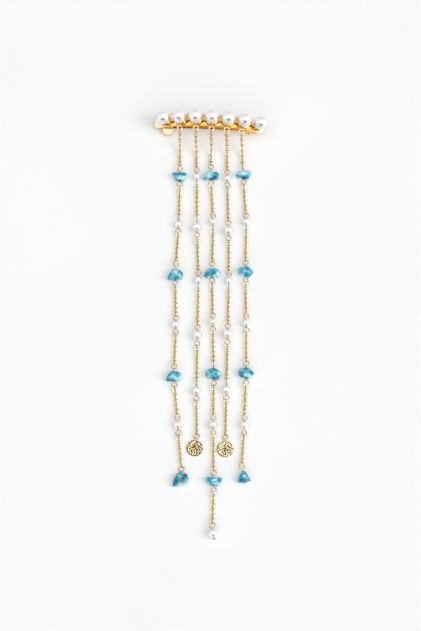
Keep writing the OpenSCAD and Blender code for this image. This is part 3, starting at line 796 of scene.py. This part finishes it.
def stone(s, k):
    """A stone chip: the CAD shape worn round and swelled, then dented, pitted and drilled."""
    number = STRANDS[s][k][SIZE]
    node = f"strand_{s + 1}_chip_{sum(kind_of(s, j) == 'chip' for j in range(k + 1))}"
    shape = worn_chip(node)
    low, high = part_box(node)
    pits = pits_on(shape, (low + high) / 2)
    drift = Vector((number * APART_X, number * APART_Y, 0))
    bmesh.ops.recalc_face_normals(shape, faces=shape.faces)
    shape.normal_update()
    # Painted shade in each pit and down the drilled hole, stored for the stone's finish
    hollow = shape.verts.layers.float.new(PAINTED_LIGHT)
    spot, run = drill_line(s, k)
    for vert in shape.verts:
        place = vert.co / MM + drift
        dent = sum(deep * noise.noise(place * fine) for deep, fine in DENTS) - SWELL
        depth = 0
        for end, size in pits:
            away = (vert.co - end).length / size
            if away < 1:
                dent += PIT_DEEP * (size / MM) * (1 - away * away) ** 2
                depth = max(depth, PIT_DARK * (1 - away))
        from_hole = (vert.co / MM - spot).cross(run).length / HOLE_R
        if from_hole < 1:
            depth = max(depth, min(1, HOLE_DARK * (1 - from_hole)))
            dent += HOLE_DEEP * (1 - from_hole * from_hole)
        vert[hollow] = depth
        vert.co -= vert.normal * dent * MM
        vert.co.z = max(vert.co.z, 0.01 * MM)
    store(shape, TONE, TONE_STEP * CHIP_TONES[number])
    piece(node.replace("chip", "stone"), shape, STONE, stands_for=[node])


# Textured discs: a coin with main ridges and broken dashes between them, and its bail
RIDGE_R, RIDGE_TIP, RIDGE_BEND, RIDGE_HIGH = 0.42, 0.2, 0.10, 0.9
DASH_STEP, DASH_LONG, DASH_BEND, DASH_SHIFT = 0.95, 1.9, 0.12, 2.4
MIDDLE_HIGH, DASH_HIGH, BREAK_HIGH, ROUGH_HIGH, ROUGH_FINE = 0.30, 0.32, 0.22, 0.35, 2.6
COIN_R, COIN_CELLS, COIN_BOTTOM = DISC_D / 2 - 0.02, 88, 0.06
DISC_BASE, DISC_RELIEF = 0.74, 0.46
RIM_W, RIM_DROP, RIM_RELIEF, PLAIN_RELIEF, BAIL_RELIEF = 0.3, 0.22, 0.75, 0.6, 0.7
# For every disc: its strand, what sets its pattern, and how much paler its colour is
DISCS = [(1, 2.0, -0.03), (3, 5.0, 0.09)]


def from_ridge(x, y, ridge):
    """How far a place is along a ridge from its middle, and how far beside its line."""
    cx, cy, turn, _ = ridge
    a = math.radians(turn)
    along = (x - cx) * math.cos(a) + (y - cy) * math.sin(a)
    return along, -(x - cx) * math.sin(a) + (y - cy) * math.cos(a)


def disc_relief(x, y, seed):
    """How high a place on a disc's face is, from 0 in a hollow to 1 on a ridge. Dashes run as the
    nearest main ridge does."""
    nearest = min(RIDGES, key=lambda ridge: math.hypot(x - ridge[0], y - ridge[1]))
    along, off = from_ridge(x, y, nearest)
    off += DASH_BEND * math.sin(along * 4 + seed)
    broken = math.cos(2 * math.pi * along / DASH_LONG + DASH_SHIFT * round(off / DASH_STEP) + seed)
    high = MIDDLE_HIGH + DASH_HIGH * math.cos(2 * math.pi * off / DASH_STEP) + BREAK_HIGH * broken
    high += ROUGH_HIGH * noise.noise(Vector((x * ROUGH_FINE, y * ROUGH_FINE, seed)))
    for ridge in RIDGES:
        cx, cy, _, length = ridge
        along, off = from_ridge(x, y, ridge)
        off += RIDGE_BEND * math.sin(along * 5 + seed + cx * 3)
        away = math.hypot(off, max(abs(along) - length / 2 + RIDGE_TIP, 0)) / RIDGE_R
        if away < 1:
            crest = RIDGE_HIGH + (1 - RIDGE_HIGH) * math.sin(along * 9 + cy)
            high = max(high, crest * math.sqrt(1 - away * away))
    return high


def disc(s, seed, paler_by):
    """The coin and bail at the end of a strand. The coin's cells are a square's, drawn into a circle."""
    k = last(s)
    node = f"strand_{s + 1}_disc"
    shape = bmesh.new()
    bmesh.ops.create_grid(shape, x_segments=COIN_CELLS, y_segments=COIN_CELLS, size=1)
    for vert in shape.verts:
        x, y = vert.co.x, vert.co.y
        vert.co.x, vert.co.y = x * math.sqrt(1 - y * y / 2), y * math.sqrt(1 - x * x / 2)
    relief = shape.verts.layers.float.new(RELIEF)
    top = bmesh.ops.extrude_face_region(shape, geom=shape.faces[:])
    for item in top["geom"]:
        if isinstance(item, bmesh.types.BMVert):
            rim = max(0, 1 - (1 - item.co.xy.length) * COIN_R / RIM_W)
            item[relief] = disc_relief(item.co.x * COIN_R, item.co.y * COIN_R, seed)
            item.co.z = DISC_BASE + DISC_RELIEF * item[relief] - RIM_DROP * rim ** 2
            item[relief] = max(item[relief], RIM_RELIEF * rim) + paler_by
    for vert in shape.verts:
        vert.co.x *= COIN_R
        vert.co.y *= COIN_R
        vert.co.z = max(vert.co.z, COIN_BOTTOM)
        if vert.co.z < DISC_BASE / 2:
            vert[relief] = PLAIN_RELIEF
    bail = Matrix.Translation((0, BAIL_STEP, BAIL_R)) @ Matrix.Rotation(math.pi / 2, 4, "Y")
    ring(shape, BAIL_R - BAIL_WIRE_R, BAIL_WIRE_R, bail, (RELIEF, BAIL_RELIEF))
    turn = math.atan2(way(s, k).x, -way(s, k).y)
    spot = Matrix.Translation((*at(s, k), 0)) @ Matrix.Rotation(turn, 4, "Z")
    bmesh.ops.transform(shape, matrix=Matrix.Scale(MM, 4) @ spot, verts=shape.verts)
    bmesh.ops.recalc_face_normals(shape, faces=shape.faces)
    piece(f"strand_{s + 1}_coin", shape, DISC_GOLD, stands_for=[node])


clip_body()
clip_arm()
for strand in range(len(STRANDS)):
    chain(strand)
for strand, beads in enumerate(STRANDS):
    for k, bead in enumerate(beads):
        if bead[KIND] == "chip":
            stone(strand, k)
for strand, seed, paler_by in DISCS:
    disc(strand, seed, paler_by)

# What scene.py keeps of the CAD: pearls, pins and the hinge pin
for name, node in NODES.items():
    if name.startswith("clip_pearl"):
        finish = CLIP_PEARL
    elif "_pearl_" in name:
        finish = STRAND_PEARL
    elif name.endswith("_pins"):
        finish = WIRE_GOLD
    else:
        finish = CLIP_GOLD
    if not node.hide_render:
        node.data.materials.clear()
        node.data.materials.append(finish.material)


# Floor, light and air
PAPER_GLOW = 0.13
PAPER_SHADES = [(0.79, 0.79, 0.79), (0.81, 0.81, 0.81)]
LAMP_FROM = Vector((0.74, -0.22, 0.64))
floor_shape = bmesh.new()
bmesh.ops.create_grid(floor_shape, x_segments=1, y_segments=1, size=6)
floor_mesh = bpy.data.meshes.new("floor")
floor_shape.to_mesh(floor_mesh)
floor_shape.free()
floor = bpy.data.objects.new("floor", floor_mesh)
bpy.context.scene.collection.objects.link(floor)
paper = Finish("paper", Roughness=0.7, Specular_IOR_Level=0.2, Emission_Color=(*WHITE, 1),
    Emission_Strength=PAPER_GLOW)
paper.drive("Base Color", paper.ramp(paper.noise(9, 2), [(0.3, PAPER_SHADES[0]), (0.7, PAPER_SHADES[1])]))
floor_mesh.materials.append(paper.material)


def sun(name, strength, spread, aim):
    """Soft light from one side, the same over the whole table. Only the tent shows in the metal."""
    lamp = bpy.data.lights.new(name, "SUN")
    lamp.energy, lamp.angle = strength, math.radians(spread)
    made = bpy.data.objects.new(name, lamp)
    made.visible_glossy = False
    made.rotation_mode = "QUATERNION"
    made.rotation_quaternion = Vector(aim).to_track_quat("-Z", "Y")
    bpy.context.scene.collection.objects.link(made)


sun("key", 1.15, 36, -LAMP_FROM)
sun("front", 2.25, 110, (-0.08, 0.46, -0.88))
sun("rear", 0.6, 130, (0.20, -0.70, -0.69))

# A white tent, brighter overhead and to the sides, with a lamp's spot and a dark gap before the table,
# where the camera looks in
GAP_UP = Vector((0, 0.545, 0.839))
GAP_WIDE, GAP_HIGH, GAP_DARK = 0.68, 0.42, 0.06
TENT, TENT_BACK, TENT_SIDES, TENT_OVERHEAD, LAMP = 0.87, 0.04, 0.30, 0.25, 4.0
world = bpy.data.worlds.new("studio")
world.use_nodes = True
bpy.context.scene.world = world
world.cycles_visibility.diffuse = False
air = Web(world.node_tree)
glow = world.node_tree.nodes["Background"]


def how_far(direction):
    return air.field("VectorMath", {"operation": "DOT_PRODUCT"},
        {0: air.field("TexCoord", output="Generated"), 1: direction}, "Value")


aside, back, rise = how_far((1, 0, 0)), how_far((0, 1, 0)), how_far(GAP_UP)
past_gap = air.ramp(aside * aside * (1 / GAP_WIDE ** 2) + rise * rise * (1 / GAP_HIGH ** 2),
    [(0.6, (GAP_DARK, GAP_DARK, GAP_DARK)), (1.4, WHITE)])
overhead = air.ramp(how_far((0, 0, 1)), [(0.72, BLACK), (0.92, WHITE)])
lamp = air.ramp(how_far(LAMP_FROM), [(0.90, BLACK), (0.95, WHITE)])
walls = TENT - TENT_BACK * back + TENT_SIDES * aside * aside + TENT_OVERHEAD * overhead + LAMP * lamp
glow.inputs["Color"].default_value = (*WHITE, 1)
world.node_tree.links.new((past_gap * walls).socket, glow.inputs["Strength"])
bpy.context.scene.view_settings.view_transform = "Standard"
